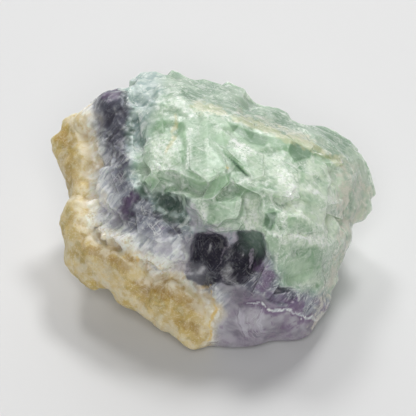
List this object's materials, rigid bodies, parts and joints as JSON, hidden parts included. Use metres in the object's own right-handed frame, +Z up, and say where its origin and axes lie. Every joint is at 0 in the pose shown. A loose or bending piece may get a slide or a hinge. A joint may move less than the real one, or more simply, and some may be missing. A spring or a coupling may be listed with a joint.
{
  "type": "fluorite freeform",
  "caption": "Rough chunk of banded green, purple and ochre fluorite, broken along its cleavage, with stepped crystal faces, a dark hollow and a grainy crust, resting on a flat break.",
  "frame": {"origin": "on the resting plane, under the middle of the stone's bounding box", "axes": "+Z up, +X along the stone's longest way, -Y towards the viewer of the display face"},
  "size_m": [0.0628, 0.0492, 0.0354],
  "materials": {
    "fluorite": "cloudy vitreous crystal with frosted white ledges, a dark purple band and a dull ochre crust"
  },
  "bodies": {
    "root": {"fluorite": "fluorite"}
  },
  "joints": []
}
